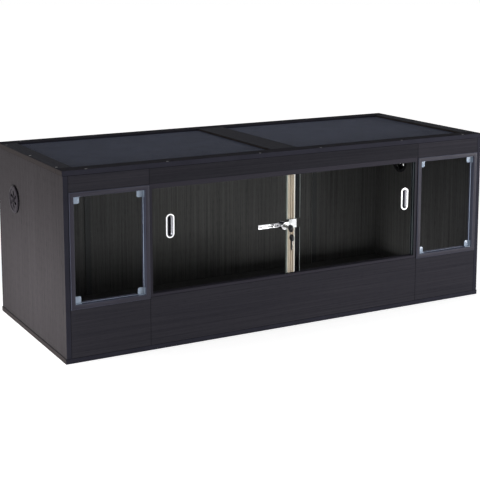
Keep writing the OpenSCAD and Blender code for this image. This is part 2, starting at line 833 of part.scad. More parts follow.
// A moulded head with rounded rim, flattened sides, a hole at its outer end and a slot for the tang.
// It is drawn upright, with the blade leaving towards +X.
module head(d) {
    difference() {
        intersection() {
            rotate_extrude() polygon([
                [0, -head_t / 2], [d / 2 - head_bevel, -head_t / 2],
                [d / 2, -head_t / 2 + head_bevel], [d / 2, head_t / 2 - head_bevel],
                [d / 2 - head_bevel, head_t / 2], [0, head_t / 2]
            ]);
            cube([d + over, d * head_flat, head_t + over], center = true);
        }
        translate([-d / 2 + head_edge + head_hole_d / 2, 0, -head_t])
            cylinder(d = head_hole_d, h = 2 * head_t);
        translate([d / 2 - tang_l, -blade_h / 2, -blade_t / 2]) cube([tang_l + over, blade_h, blade_t]);
    }
}

// Places a flat key part in the lock's upright plane, its tip pointing into the cabinet
module in_lock() {
    translate([barrel_x, head_y, lock_z]) rotate([90, 0, 90]) children();
}

// Places a flat key part hanging from the ring, its tip pointing down
module hanging() {
    translate([barrel_x, ring_y, spare_head_z]) rotate([0, 0, 90]) rotate([90, 90, 0]) children();
}

module key_blade() {
    color([0.80, 0.80, 0.82])
    in_lock() translate([key_head_d / 2, 0, -blade_t / 2])
        linear_extrude(blade_t) key_outline(key_reach + key_insert);
}

module key_head() {
    color([0.06, 0.06, 0.07]) in_lock() head(key_head_d);
}

module key_ring() {
    color([0.80, 0.81, 0.84])
    facing_front(barrel_x, ring_y, ring_z)
        rotate_extrude() translate([ring_d / 2, 0]) circle(d = ring_wire, $fn = 24);
}

module spare_key_blade() {
    color([0.80, 0.80, 0.82])
    hanging() translate([spare_head_d / 2, 0, -blade_t / 2])
        linear_extrude(blade_t) key_outline(spare_blade_l);
}

module spare_key_head() {
    color([0.06, 0.06, 0.07]) hanging() head(spare_head_d);
}

// ---- Vents ----

// Places a shape on a side board's outer face, drawn with +Z pointing out of the cabinet
module on_vent(side) {
    on_side(side) translate([-side_x, vent_y, vent_z]) rotate([0, -90, 0]) children();
}

// The lens-shaped petals of the grille and of the shutter
module petal_set() {
    // Two arcs of this radius cross at the tips of a petal
    arc_r = (petal_l * petal_l + petal_w * petal_w) / (4 * petal_w);
    for (i = [0 : petals - 1]) rotate(i * 360 / petals) translate([petal_r, 0]) rotate(petal_tilt)
        intersection_for(s = [-1, 1]) translate([0, s * (arc_r - petal_w / 2)]) circle(r = arc_r);
}

module vent_flange(side) {
    edge = 1.5;
    sleeve_z = sleeve_short - board_t;
    color([0.09, 0.09, 0.10])
    on_vent(side) {
        rotate_extrude() polygon([
            [sleeve_inner_r, sleeve_z], [sleeve_r, sleeve_z], [sleeve_r, 0], [vent_d / 2, 0],
            [vent_d / 2, vent_proud - edge], [vent_d / 2 - edge, vent_proud],
            [sleeve_inner_r + edge, vent_proud], [sleeve_inner_r, vent_proud - edge / 2]
        ]);
        translate([0, 0, vent_proud - grille_recess - grille_t]) linear_extrude(grille_t) difference() {
            circle(r = sleeve_inner_r + eps);
            petal_set();
            circle(d = hub_d + 2 * hub_play);
        }
    }
}

// The liner closes the hole from inside and slips into the flange's sleeve
module vent_liner(side) {
    edge = 1;
    liner_r = sleeve_inner_r - sleeve_play;
    bore_r = liner_r - sleeve_wall;
    color([0.09, 0.09, 0.10])
    on_vent(side) translate([0, 0, -board_t]) rotate_extrude() polygon([
        [bore_r, edge - liner_proud], [bore_r + edge, -liner_proud],
        [vent_d / 2 - edge, -liner_proud], [vent_d / 2, edge - liner_proud], [vent_d / 2, 0],
        [liner_r, 0], [liner_r, liner_l], [bore_r, liner_l]
    ]);
}

// The shutter lies behind the grille, with its hub through the grille's centre
module vent_shutter(side) {
    shutter_z = vent_proud - grille_recess - 2 * grille_t - shutter_gap;
    color([0.12, 0.12, 0.13])
    on_vent(side) translate([0, 0, shutter_z]) {
        linear_extrude(grille_t) difference() {
            circle(r = sleeve_inner_r - 2 * shutter_gap);
            petal_set();
        }
        cylinder(d = hub_d, h = 2 * grille_t + 2 * shutter_gap);
    }
}

// The knob caps the hub and has a raised grip across it
module vent_knob(side) {
    knob_z = vent_proud - grille_recess + shutter_gap;
    cap_t = 0.8;
    grip_inset = 0.5;
    color([0.10, 0.10, 0.11])
    on_vent(side) translate([0, 0, knob_z]) {
        cylinder(d = knob_d, h = cap_t);
        rotate(petal_tilt) intersection() {
            translate([-knob_d / 2, -grip_t / 2, 0]) cube([knob_d, grip_t, grip_h]);
            cylinder(d = knob_d - 2 * grip_inset, h = grip_h);
        }
    }
}

// ---- Sets of fasteners ----

module top_screws() {
    color([0.55, 0.55, 0.57])
    top_screw_set(0, -cabinet_w, cabinet_w, -cabinet_d, cabinet_d);
}

module base_screws() {
    color([0.55, 0.55, 0.57])
    base_screw_set(0, -cabinet_w, cabinet_w, -cabinet_d, cabinet_d);
}

module panel_dowels() {
    color([0.72, 0.58, 0.40])
    dowel_set(0, -cabinet_w, cabinet_w, -cabinet_d, cabinet_d);
}

base_panel();
side_panel(-1);  // left_side_panel
side_panel(1);  // right_side_panel
back_panel(-inner_x, -back_joint_x - strip_web / 2);  // back_left_panel
back_panel(-back_joint_x + strip_web / 2, back_joint_x - strip_web / 2);  // back_centre_panel
back_panel(back_joint_x + strip_web / 2, inner_x);  // back_right_panel
back_joint_strips();
front_panel(-1);  // front_left_panel
front_panel(1);  // front_right_panel
front_top_rail();
front_bottom_rail();
top_front_rail();
top_back_rail();
top_left_rail();
top_right_rail();
top_centre_bar();
mesh(-1);  // left_mesh
mesh(1);  // right_mesh
window_frame(-1);  // left_window_frame
window_frame(1);  // right_window_frame
window_pane(-1);  // left_window_pane
window_pane(1);  // right_window_pane
window_clips(-1);  // left_window_clips
window_clips(1);  // right_window_clips
upper_door_track();
lower_door_track();
door_jamb(-1);  // left_door_jamb
door_jamb(1);  // right_door_jamb
left_door_glass();
right_door_glass();
finger_pull(left_pull_x, rear_glass_y);  // left_finger_pull
finger_pull(right_pull_x, front_glass_y);  // right_finger_pull
door_seal();
ratchet_bar();
hook_pad();
lock_barrel();
lock_plug();
key_blade();
key_head();
key_ring();
spare_key_blade();
spare_key_head();
vent_flange(-1);  // left_vent_flange
vent_flange(1);  // right_vent_flange
vent_liner(-1);  // left_vent_liner
vent_liner(1);  // right_vent_liner
vent_shutter(-1);  // left_vent_shutter
vent_shutter(1);  // right_vent_shutter
vent_knob(-1);  // left_vent_knob
vent_knob(1);  // right_vent_knob
top_screws();
base_screws();
panel_dowels();
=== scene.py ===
# The finished look of the terrarium cabinet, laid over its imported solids.
# Every length is in metres, in the frame of the solids: X along the front, -Y out of it, Z up.
import math

import bmesh
import bpy
from mathutils import Matrix, Vector


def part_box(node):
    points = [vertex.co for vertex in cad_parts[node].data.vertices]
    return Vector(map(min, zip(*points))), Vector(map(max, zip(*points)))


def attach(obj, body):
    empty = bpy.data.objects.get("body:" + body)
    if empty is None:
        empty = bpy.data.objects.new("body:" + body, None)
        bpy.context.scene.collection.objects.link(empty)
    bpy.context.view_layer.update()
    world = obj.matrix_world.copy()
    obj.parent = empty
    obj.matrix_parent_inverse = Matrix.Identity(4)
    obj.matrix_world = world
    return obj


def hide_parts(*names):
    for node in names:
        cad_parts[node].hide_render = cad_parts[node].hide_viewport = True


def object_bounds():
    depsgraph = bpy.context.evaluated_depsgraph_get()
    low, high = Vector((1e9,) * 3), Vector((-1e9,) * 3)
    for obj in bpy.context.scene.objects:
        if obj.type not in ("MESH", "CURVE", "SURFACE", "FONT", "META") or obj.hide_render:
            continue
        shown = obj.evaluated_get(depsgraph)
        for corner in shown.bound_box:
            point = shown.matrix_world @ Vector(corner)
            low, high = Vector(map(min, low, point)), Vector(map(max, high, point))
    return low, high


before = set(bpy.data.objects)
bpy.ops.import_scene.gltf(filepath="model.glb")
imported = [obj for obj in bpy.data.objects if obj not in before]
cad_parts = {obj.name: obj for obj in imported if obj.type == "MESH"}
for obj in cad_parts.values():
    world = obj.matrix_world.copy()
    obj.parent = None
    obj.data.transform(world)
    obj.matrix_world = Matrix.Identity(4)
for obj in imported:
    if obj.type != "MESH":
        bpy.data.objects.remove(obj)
cad_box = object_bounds()
MM = 0.001


# ---- Camera ----
# The photograph was taken from the front left, from above the top's edge, with a long lens.
# The lens is shifted a little, because the upright edges stay nearly parallel in the picture.

camera = bpy.data.objects.new("camera", bpy.data.cameras.new("camera"))
bpy.context.collection.objects.link(camera)
camera.location = (-1.4888, -2.6918, 0.9208)
camera.rotation_euler = (math.radians(90 - 9.02), 0, math.radians(-28.69))
camera.data.sensor_width = 36
camera.data.lens = 88.22
camera.data.shift_y = -0.2
camera.data.clip_end = 50
bpy.context.scene.camera = camera
bpy.context.scene.view_settings.view_transform = "Standard"


# ---- Studio ----
# A pale floor and an even pale room. Two soft boxes light the side board and the front, a low strip
# the foot of the side board, and a faint lamp on the cabinet's own floor the boards inside.

def new_material(name):
    """A material with empty nodes, and its node tree."""
    material = bpy.data.materials.new(name)
    material.use_nodes = True
    material.node_tree.nodes.clear()
    return material, material.node_tree


def add_node(tree, kind, values=None, **settings):
    """A node of that kind, with its settings and, by socket name or number, its unlinked values."""
    node = tree.nodes.new(kind)
    for key, value in settings.items():
        setattr(node, key, value)
    for key, value in (values or {}).items():
        node.inputs[key].default_value = value
    return node


def add_math(tree, operation, *operands):
    """A Math node whose inputs are sockets or numbers."""
    node = add_node(tree, "ShaderNodeMath", operation=operation)
    for socket, value in zip(node.inputs, operands):
        if isinstance(value, (int, float)):
            socket.default_value = value
        else:
            tree.links.new(value, socket)
    return node.outputs[0]


def backdrop_share(tree):
    """One where the camera, gloss or glass looks at the backdrop, and zero where it lights things."""
    path = add_node(tree, "ShaderNodeLightPath")
    seen = add_math(tree, "MAXIMUM", path.outputs["Is Camera Ray"], path.outputs["Is Glossy Ray"])
    return add_math(tree, "MAXIMUM", seen, path.outputs["Is Transmission Ray"])


def make_room():
    """An even world, which looks white and lights things by less."""
    room_light = 0.5
    world = bpy.data.worlds.new("room")
    bpy.context.scene.world = world
    world.use_nodes = True
    tree = world.node_tree
    tree.nodes.clear()
    strength = add_math(tree, "MULTIPLY_ADD", backdrop_share(tree), 1 - room_light, room_light)
    background = add_node(tree, "ShaderNodeBackground", {"Color": (1, 1, 1, 1)})
    output = add_node(tree, "ShaderNodeOutputWorld")
    tree.links.new(strength, background.inputs["Strength"])
    tree.links.new(background.outputs[0], output.inputs[0])


def make_floor():
    """A wide round floor that looks white and keeps the cabinet's shadow."""
    radius, gap, own_glow = 20, 0.3 * MM, 0.6
    mesh = bpy.data.meshes.new("floor")
    bm = bmesh.new()
    bmesh.ops.create_circle(bm, cap_ends=True, radius=radius, segments=64)
    bm.to_mesh(mesh)
    bm.free()
    floor = bpy.data.objects.new("floor", mesh)
    floor.location.z = -gap
    bpy.context.collection.objects.link(floor)
    material, tree = new_material("floor_paper")
    paper = add_node(tree, "ShaderNodeBsdfPrincipled", {
        "Base Color": (0.8, 0.8, 0.8, 1), "Roughness": 0.9, "Emission Color": (1, 1, 1, 1)})
    output = add_node(tree, "ShaderNodeOutputMaterial")
    glow = add_math(tree, "MULTIPLY", backdrop_share(tree), own_glow)
    tree.links.new(glow, paper.inputs["Emission Strength"])
    tree.links.new(paper.outputs[0], output.inputs[0])
    mesh.materials.append(material)


def add_softbox(name, place, aim, size, power, mirrored=True):
    """A rectangular area lamp at a place, turned to a point. The camera never sees it, and gloss and
    glass see it only where it is mirrored."""
    light = bpy.data.lights.new(name, "AREA")
    light.shape = "RECTANGLE"
    light.size, light.size_y = size
    light.energy = power
    lamp = bpy.data.objects.new(name, light)
    lamp.location = place
    lamp.rotation_euler = (Vector(aim) - Vector(place)).to_track_quat("-Z", "Y").to_euler()
    lamp.visible_camera = False
    lamp.visible_glossy = lamp.visible_transmission = mirrored
    bpy.context.collection.objects.link(lamp)


def add_dark_card():
    """A dark ceiling that only gloss sees, so that metal shows its rounded edges in a white room."""
    radius, height = 4, 2.4
    mesh = bpy.data.meshes.new("dark_card")
    bm = bmesh.new()
    bmesh.ops.create_circle(bm, cap_ends=True, radius=radius, segments=32)
    bm.to_mesh(mesh)
    bm.free()
    card = bpy.data.objects.new("dark_card", mesh)
    card.location.z = height
    bpy.context.collection.objects.link(card)
    material, tree = new_material("dark_card")
    cloth = add_node(tree, "ShaderNodeBsdfDiffuse", {"Color": (0.02, 0.02, 0.02, 1)})
    output = add_node(tree, "ShaderNodeOutputMaterial")
    tree.links.new(cloth.outputs[0], output.inputs[0])
    mesh.materials.append(material)
    for kind in ("camera", "diffuse", "transmission", "volume_scatter", "shadow"):
        setattr(card, "visible_" + kind, False)


make_room()
make_floor()
add_softbox("left_softbox", (-4.0, -1.2, 0.9), (0, 0, 0.2), (2.4, 1.6), 42)
add_softbox("right_softbox", (2.0, -2.3, 0.32), (0.6, -0.24, 0.06), (1.6, 0.6), 80)
add_softbox("side_strip", (-0.95, 0.0, 0.10), (-0.6, 0.0, 0.16), (0.8, 0.1), 4.0, mirrored=False)
add_softbox("inner_glow", (0.32, 0.0, 0.03), (0.32, 0.0, 1.0), (0.48, 0.36), 0.8, mirrored=False)
add_dark_card()


# ---- Boards ----
# Twelve-millimetre chipboard with a dark wood-effect laminate on both faces, cut square and banded
# with a plain strip on every edge. Each board's edges are eased by a fraction of a millimetre.

def new_group(name, inputs, outputs):
    """An empty shader node group with sockets given as {name: kind}, and its two end nodes."""
    tree = bpy.data.node_groups.new(name, "ShaderNodeTree")
    for way, sockets in (("INPUT", inputs), ("OUTPUT", outputs)):
        for socket, kind in sockets.items():
            tree.interface.new_socket(socket, in_out=way, socket_type="NodeSocket" + kind)
    return tree, add_node(tree, "NodeGroupInput"), add_node(tree, "NodeGroupOutput")


def add_noise(tree, vector, scale, **values):
    """Noise read on a vector that is scaled along each axis."""
    mapping = add_node(tree, "ShaderNodeMapping", {"Scale": scale})
    noise = add_node(tree, "ShaderNodeTexNoise", {"Scale": 1.0, **values})
    tree.links.new(vector, mapping.inputs["Vector"])
    tree.links.new(mapping.outputs[0], noise.inputs["Vector"])
    return noise.outputs[0]


def add_range(tree, value, low, high, to_low=0.0, to_high=1.0):
    """A Map Range node: a number or socket for each end of what it puts out."""
    node = add_node(tree, "ShaderNodeMapRange", {"From Min": low, "From Max": high})
    tree.links.new(value, node.inputs["Value"])
    for name, end in (("To Min", to_low), ("To Max", to_high)):
        if isinstance(end, (int, float)):
            node.inputs[name].default_value = end
        else:
            tree.links.new(end, node.inputs[name])
    return node.outputs[0]


def add_mix(tree, factor, first, second, blend="MIX"):
    """A colour Mix node between two sockets."""
    node = add_node(tree, "ShaderNodeMix", data_type="RGBA", blend_type=blend)
    for name, value in (("Factor", factor), ("A", first), ("B", second)):
        if isinstance(value, (int, float)):
            node.inputs[name].default_value = value
        else:
            tree.links.new(value, node.inputs[name])
    return node.outputs["Result"]


def make_grain_group():
    """Printed wood grain along X: wavy growth lines, fine streaks and short embossed pores."""
    tree, given, out = new_group("printed_grain", {"Vector": "Vector", "Dark": "Color", "Light": "Color"},
                                 {"Color": "Color", "Roughness": "Float", "Height": "Float"})
    vector = given.outputs["Vector"]
    drawn_out = add_node(tree, "ShaderNodeMapping", {"Scale": (0.03, 1, 1)})
    figure = add_node(tree, "ShaderNodeTexWave", {
        "Scale": 30.0, "Distortion": 5.0, "Detail": 3.0, "Detail Scale": 0.4, "Detail Roughness": 0.6},
        bands_direction="DIAGONAL")
    tree.links.new(vector, drawn_out.inputs["Vector"])
    tree.links.new(drawn_out.outputs[0], figure.inputs["Vector"])
    cloud = add_noise(tree, vector, (0.8, 7, 7), Detail=2.0)
    streak = add_noise(tree, vector, (3, 320, 320), Detail=4.0, Roughness=0.6)
    pore = add_range(tree, add_noise(tree, vector, (45, 1500, 1500), Detail=1.0), 0.55, 0.68)
    tone = add_math(tree, "MULTIPLY", streak, 0.8)
    for pattern, weight in ((figure.outputs["Fac"], 0.02), (cloud, 0.09), (pore, -0.18)):
        tone = add_math(tree, "MULTIPLY_ADD", pattern, weight, tone)
    color = add_mix(tree, add_range(tree, tone, 0.17, 0.77), given.outputs["Dark"], given.outputs["Light"])
    tree.links.new(color, out.inputs["Color"])
    tree.links.new(add_range(tree, add_math(tree, "MULTIPLY_ADD", pore, 0.5, streak), 0.3, 1.0, 0.62, 0.82),
                   out.inputs["Roughness"])
    tree.links.new(add_math(tree, "MULTIPLY_ADD", pore, -1.0, add_math(tree, "MULTIPLY", streak, 0.5)),
                   out.inputs["Height"])
    return tree


grain_group = make_grain_group()


def shade(tree, sockets, depth=0.0):
    """A Principled shader on the output, fed by {socket name: socket or value}; Height feeds its bump."""
    shader = add_node(tree, "ShaderNodeBsdfPrincipled")
    for name, value in sockets.items():
        if name == "Height":
            bump = add_node(tree, "ShaderNodeBump", {"Strength": 1.0, "Distance": depth})
            tree.links.new(value, bump.inputs["Height"])
            tree.links.new(bump.outputs[0], shader.inputs["Normal"])
        elif isinstance(value, bpy.types.NodeSocket):
            tree.links.new(value, shader.inputs[name])
        else:
            shader.inputs[name].default_value = value
    output = add_node(tree, "ShaderNodeOutputMaterial")
    tree.links.new(shader.outputs[0], output.inputs[0])
    return shader


def laminate(name, dark, light, turn=(0, 0, 0), gloss=0.0):
    """The laminate, with its grain along X before that turn."""
    material, tree = new_material(name)
    where = add_node(tree, "ShaderNodeTexCoord")
    turned = add_node(tree, "ShaderNodeMapping", {"Rotation": turn})
    grain = add_node(tree, "ShaderNodeGroup", {}, node_tree=grain_group)
    grain.inputs["Dark"].default_value = (*dark, 1)
    grain.inputs["Light"].default_value = (*light, 1)
    tree.links.new(where.outputs["Object"], turned.inputs["Vector"])
    tree.links.new(turned.outputs[0], grain.inputs["Vector"])
    shade(tree, {"Base Color": grain.outputs["Color"], "Roughness": grain.outputs["Roughness"],
                 "Height": grain.outputs["Height"], "Specular IOR Level": gloss}, depth=0.05 * MM)
    return material


def make_fine_group():
    """Moulded or extruded plastic: a faint unevenness in colour, roughness and height."""
    tree, given, out = new_group(
        "fine_texture", {"Vector": "Vector", "Color": "Color", "Low": "Float", "High": "Float"},
        {"Color": "Color", "Roughness": "Float", "Height": "Float"})
    vector = given.outputs["Vector"]
    cloudy = add_noise(tree, vector, (22, 22, 22), Detail=3.0)
    tone = add_range(tree, cloudy, 0.3, 0.7, 0.9, 1.1)
    tree.links.new(add_mix(tree, 1.0, given.outputs["Color"], tone, "MULTIPLY"), out.inputs["Color"])
    tree.links.new(add_range(tree, cloudy, 0.3, 0.7, given.outputs["Low"], given.outputs["High"]),
                   out.inputs["Roughness"])
    tree.links.new(add_noise(tree, vector, (1400, 1400, 1400), Detail=2.0), out.inputs["Height"])
    return tree


fine_group = make_fine_group()


def plastic(name, color, rough, depth=0.02 * MM, stretch=(1, 1, 1), **sockets):
    """Plastic with a faint texture. A stretch below 1 draws it out along that axis, as extrusion does."""
    material, tree = new_material(name)
    where = add_node(tree, "ShaderNodeTexCoord")
    drawn = add_node(tree, "ShaderNodeMapping", {"Scale": stretch})
    fine = add_node(tree, "ShaderNodeGroup", {}, node_tree=fine_group)
    fine.inputs["Color"].default_value = (*color, 1)
    fine.inputs["Low"].default_value, fine.inputs["High"].default_value = rough
    tree.links.new(where.outputs["Object"], drawn.inputs["Vector"])
    tree.links.new(drawn.outputs[0], fine.inputs["Vector"])
    shade(tree, {"Base Color": fine.outputs["Color"], "Roughness": fine.outputs["Roughness"],
                 "Height": fine.outputs["Height"], **sockets}, depth=depth)
    return material


def eased(node, radius, shortest=0.0):
    """A piece that stands for a CAD node: its own shape, with its sharp outer edges rounded."""
    sharp_from = math.radians(28)
    bm = bmesh.new()
    bm.from_mesh(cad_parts[node].data)
    bmesh.ops.remove_doubles(bm, verts=bm.verts, dist=0.005 * MM)
    bmesh.ops.dissolve_limit(bm, angle_limit=math.radians(0.5), verts=bm.verts, edges=bm.edges)
    bmesh.ops.recalc_face_normals(bm, faces=bm.faces)
    sharp = [e for e in bm.edges
             if e.is_convex and e.calc_face_angle() > sharp_from and e.calc_length() > shortest]
    bmesh.ops.bevel(bm, geom=sharp, offset=radius, offset_type="OFFSET", affect="EDGES", segments=2,
                    profile=0.5, material=-1, clamp_overlap=True)
    return finish_piece(bm, node)


def finish_piece(bm, node):
    """Makes a bmesh the object that replaces a CAD node, smooth but for its real edges."""
    mesh = bpy.data.meshes.new(node)
    bm.to_mesh(mesh)
    bm.free()
    mesh.shade_smooth()
    mesh.set_sharp_from_angle(angle=math.radians(20))
    piece = bpy.data.objects.new(node + "_piece", mesh)
    bpy.context.collection.objects.link(piece)
    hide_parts(node)
    return piece


def paint(piece, slot, *materials):
    """Gives a piece its materials; the slot is not used."""
    piece.data.materials.clear()
    for material in materials:
        piece.data.materials.append(material)


UPRIGHT = (0, math.pi / 2, 0)
INWARD = (0, 0, math.pi / 2)
SHOWN_TONES = (0.0168, 0.0165, 0.0212), (0.0322, 0.0306, 0.0364)
# Painted shade: a darker copy of the front laminate for the front's top rail, so the front is darker towards
# its top
HIGH_SHADE_TONES = (0.0130, 0.0130, 0.0165), (0.0262, 0.0252, 0.0298)
# Painted sheen: the top's rails along Y have a lighter copy of the laminate, which stands in for the sheen on
# them
CROSS_SHEEN_TONES = (0.0240, 0.0250, 0.0315), (0.0550, 0.0545, 0.0630)
# Painted light: the side and back boards have a lighter copy of the laminate than the front, which stands in
# for light on the side board
SIDE_LIT_TONES = (0.0150, 0.0133, 0.0142), (0.0482, 0.0438, 0.0472)
# Painted light: the inner faces have a much lighter copy of the laminate, which stands in for light inside
# the cabinet
INNER_LIT_TONES = (0.0211, 0.0209, 0.0206), (0.0717, 0.0709, 0.0701)
shown_along_x = laminate("laminate_along_x", *SHOWN_TONES, gloss=0.002)
front_rail_shade = laminate("laminate_shaded_top", *HIGH_SHADE_TONES, gloss=0.002)
shown_along_y = laminate("laminate_along_y", *CROSS_SHEEN_TONES, turn=INWARD, gloss=0.004)
side_lit_upright = laminate("laminate_upright", *SIDE_LIT_TONES, turn=UPRIGHT, gloss=0.03)
inner_along_x = laminate("inner_laminate_along_x", *INNER_LIT_TONES, gloss=0.05)
inner_upright = laminate("inner_laminate_upright", *INNER_LIT_TONES, turn=UPRIGHT, gloss=0.05)
# Painted shade: a dark colour for rounded edges, where shade falls in the grooves between boards and along
# cut-outs
joint_groove_shade = plastic("joint_groove_shade", (0.0110, 0.0104, 0.0135), (0.7, 0.8), depth=0.005 * MM,
                     **{"Specular IOR Level": 0.0})
end_band = plastic("end_band", (0.028, 0.024, 0.024), (0.5, 0.6), depth=0.01 * MM,
                   **{"Specular IOR Level": 0.01})
edge_band = plastic("edge_band", (0.0195, 0.0193, 0.0268), (0.5, 0.6), depth=0.01 * MM,
                    **{"Specular IOR Level": 0.01})

# Each board, the axis and sign of its outer face, and the laminates of its outer and inner faces
BOARDS = (
    ("base_panel", 2, -1, shown_along_x, inner_along_x),
    ("left_side_panel", 0, -1, side_lit_upright, inner_upright),
    ("right_side_panel", 0, 1, side_lit_upright, inner_upright),
    ("back_left_panel", 1, 1, side_lit_upright, inner_upright),
    ("back_centre_panel", 1, 1, side_lit_upright, inner_upright),
    ("back_right_panel", 1, 1, side_lit_upright, inner_upright),
    ("front_left_panel", 1, -1, shown_along_x, inner_along_x),
    ("front_right_panel", 1, -1, shown_along_x, inner_along_x),
    ("front_top_rail", 1, -1, front_rail_shade, inner_along_x),
    ("front_bottom_rail", 1, -1, shown_along_x, inner_along_x),
    ("top_front_rail", 2, 1, shown_along_x, inner_along_x),
    ("top_back_rail", 2, 1, shown_along_x, inner_along_x),
    ("top_left_rail", 2, 1, shown_along_y, shown_along_y),
    ("top_right_rail", 2, 1, shown_along_y, shown_along_y),
    ("top_centre_bar", 2, 1, shown_along_y, shown_along_y),
)
# How near an edge lies to the cabinet's sides, front or back, and top or underside to be its corner
CORNER_REACH = (8 * MM, 52 * MM, 2 * MM)

for node, axis, sign, outer, inner in BOARDS:
    board = eased(node, 0.6 * MM, shortest=8 * MM)
    paint(board, "board", outer, inner, edge_band, joint_groove_shade, end_band)
    for face in board.data.polygons:
        outward = face.normal[axis] * sign
        face.material_index = 0 if outward > 0.95 else 1 if outward < -0.95 else 2
        if axis != 0 and abs(face.normal.x) > 0.6:
            face.material_index = 4
        # A rounded edge is painted dark, as painted shade in its groove, but for those along the cabinet's
        # own corners
        at_corner = sum(min(abs(face.center[i] - cad_box[0][i]), abs(face.center[i] - cad_box[1][i])) < reach
                        for i, reach in enumerate(CORNER_REACH))
        if max(map(abs, face.normal)) < 0.97 and at_corner < 2:
            face.material_index = 3
    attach(board, "cabinet")


# ---- Joint strips of the back ----
# Two dark extruded strips of H section, pushed over the edges of the three back boards.

strip_extrusion = plastic("strip_extrusion", (0.034, 0.035, 0.036), (0.35, 0.5), stretch=(1, 1, 0.02),
                          **{"Specular IOR Level": 0.05})
# Painted highlight: the strips' flanks on the inner side are painted light
strip_flank_highlight = plastic("strip_flank_highlight", (0.16, 0.17, 0.165), (0.35, 0.5), stretch=(1, 1, 0.02))
strips = eased("back_joint_strips", 0.3 * MM)
paint(strips, "track_plastic", strip_extrusion, strip_flank_highlight)
inner_half_y = cad_box[1][1] - 10 * MM
for face in strips.data.polygons:
    face.material_index = int(abs(face.normal.x) > 0.9 and face.center.y < inner_half_y)
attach(strips, "cabinet")


# ---- Mesh panels ----
# Fine dark grey wire mesh, laid into the grooves of the top's frame. The wires along X lie on the
# wires along Y.

wire_metal = plastic("wire_metal", (0.067, 0.074, 0.106), (0.5, 0.6), depth=0.005 * MM,
                     **{"Specular IOR Level": 0.2})


def make_mesh_panel(node):
    """Straight six-sided wires at an even pitch, over the whole outline of the CAD panel."""
    pitch, wire = 2.0 * MM, 0.42 * MM
    low, high = (Vector(corner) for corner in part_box(node))
    middle = (low + high) / 2
    size = high - low
    bm = bmesh.new()
    for axis, lift in ((0, 0.45), (1, -0.45)):
        lying = Matrix.Rotation(math.pi / 2, 4, "Y" if axis == 0 else "X")
        count = int(size[1 - axis] / pitch)
        for i in range(count + 1):
            place = middle.copy()
            place[1 - axis] += (i - count / 2) * pitch
            place.z += wire * lift
            bmesh.ops.create_cone(bm, cap_ends=True, segments=6, radius1=wire / 2, radius2=wire / 2,
                                  depth=size[axis], matrix=Matrix.Translation(place) @ lying)
    return finish_piece(bm, node)


for node in ("left_mesh", "right_mesh"):
    panel = make_mesh_panel(node)
    paint(panel, "mesh", wire_metal)
    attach(panel, "cabinet")


# ---- Windows ----
# Each fixed window is a grey moulded frame whose sleeve drops through the front panel, a clear
# acrylic pane on the lip at the back of the sleeve, and four pale blue clips at the pane's corners.

def clear(name, color, rough, ior):
    """Clear glass or plastic. It mirrors the room where it is seen at a steep slant, and nowhere else."""
    mirrors_from, mirrors_fully = 0.72, 0.85
    material, tree = new_material(name)
    shader = add_node(tree, "ShaderNodeBsdfPrincipled", {
        "Base Color": (*color, 1), "Roughness": rough, "IOR": ior, "Transmission Weight": 1.0})
    path = add_node(tree, "ShaderNodeLightPath")
    through = add_node(tree, "ShaderNodeBsdfTransparent", {"Color": (*color, 1)})
    mix = add_node(tree, "ShaderNodeMixShader")
    output = add_node(tree, "ShaderNodeOutputMaterial")
    slant = add_node(tree, "ShaderNodeLayerWeight", {"Blend": 0.5})
    plain = add_range(tree, slant.outputs["Facing"], mirrors_from, mirrors_fully, 1.0, 0.0)
    lighting = add_math(tree, "MAXIMUM", path.outputs["Is Shadow Ray"], path.outputs["Is Diffuse Ray"])
    tree.links.new(add_math(tree, "MAXIMUM", lighting, plain), mix.inputs[0])
    tree.links.new(shader.outputs[0], mix.inputs[1])
    tree.links.new(through.outputs[0], mix.inputs[2])
    tree.links.new(mix.outputs[0], output.inputs[0])
    return material


def paint_edges(piece, axis, index):
    """Gives the faces of a flat pane that don't face along its thin axis another material."""
    for face in piece.data.polygons:
        face.material_index = 0 if abs(face.normal[axis]) > 0.9 else index


acrylic = clear("window_acrylic", (0.98, 0.985, 0.99), 0.0, 1.3)
# Painted light: the pane's cut edges are painted a light pale blue
acrylic_glow_edge = plastic("acrylic_glow_edge", (0.60, 0.70, 0.90), (0.25, 0.35))
clip_plastic = plastic("clip_plastic", (0.32, 0.385, 0.48), (0.12, 0.2), depth=0.005 * MM,
                       **{"Transmission Weight": 0.3, "IOR": 1.3})
frame_plastic = plastic("frame_plastic", (0.0245, 0.0230, 0.0330), (0.42, 0.55),
                        **{"Specular IOR Level": 0.1})
# Painted light: the sleeve's inner walls are painted a lighter blue-grey than the rest of the one-piece frame
sleeve_lit_plastic = plastic("sleeve_lit_plastic", (0.060, 0.064, 0.092), (0.42, 0.55),
                         **{"Specular IOR Level": 0.1})

for side in ("left", "right"):
    window = eased(side + "_window_frame", 0.4 * MM)
    paint(window, "frame_plastic", frame_plastic, sleeve_lit_plastic)
    paint_edges(window, 1, 1)
    clips = eased(side + "_window_clips", 0.3 * MM)
    paint(clips, "clear_plastic", clip_plastic)
    pane = eased(side + "_window_pane", 0.3 * MM)
    paint(pane, "glass", acrylic, acrylic_glow_edge)
    paint_edges(pane, 1, 1)
    for piece in (window, clips, pane):
        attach(piece, "cabinet")


# ---- Tracks and jambs ----
# Dark grey extruded double channels, cut to length and pressed into the doorway on all four sides.
# They have the tone of the boards, and the jambs' flanks are painted lighter, as a painted highlight.

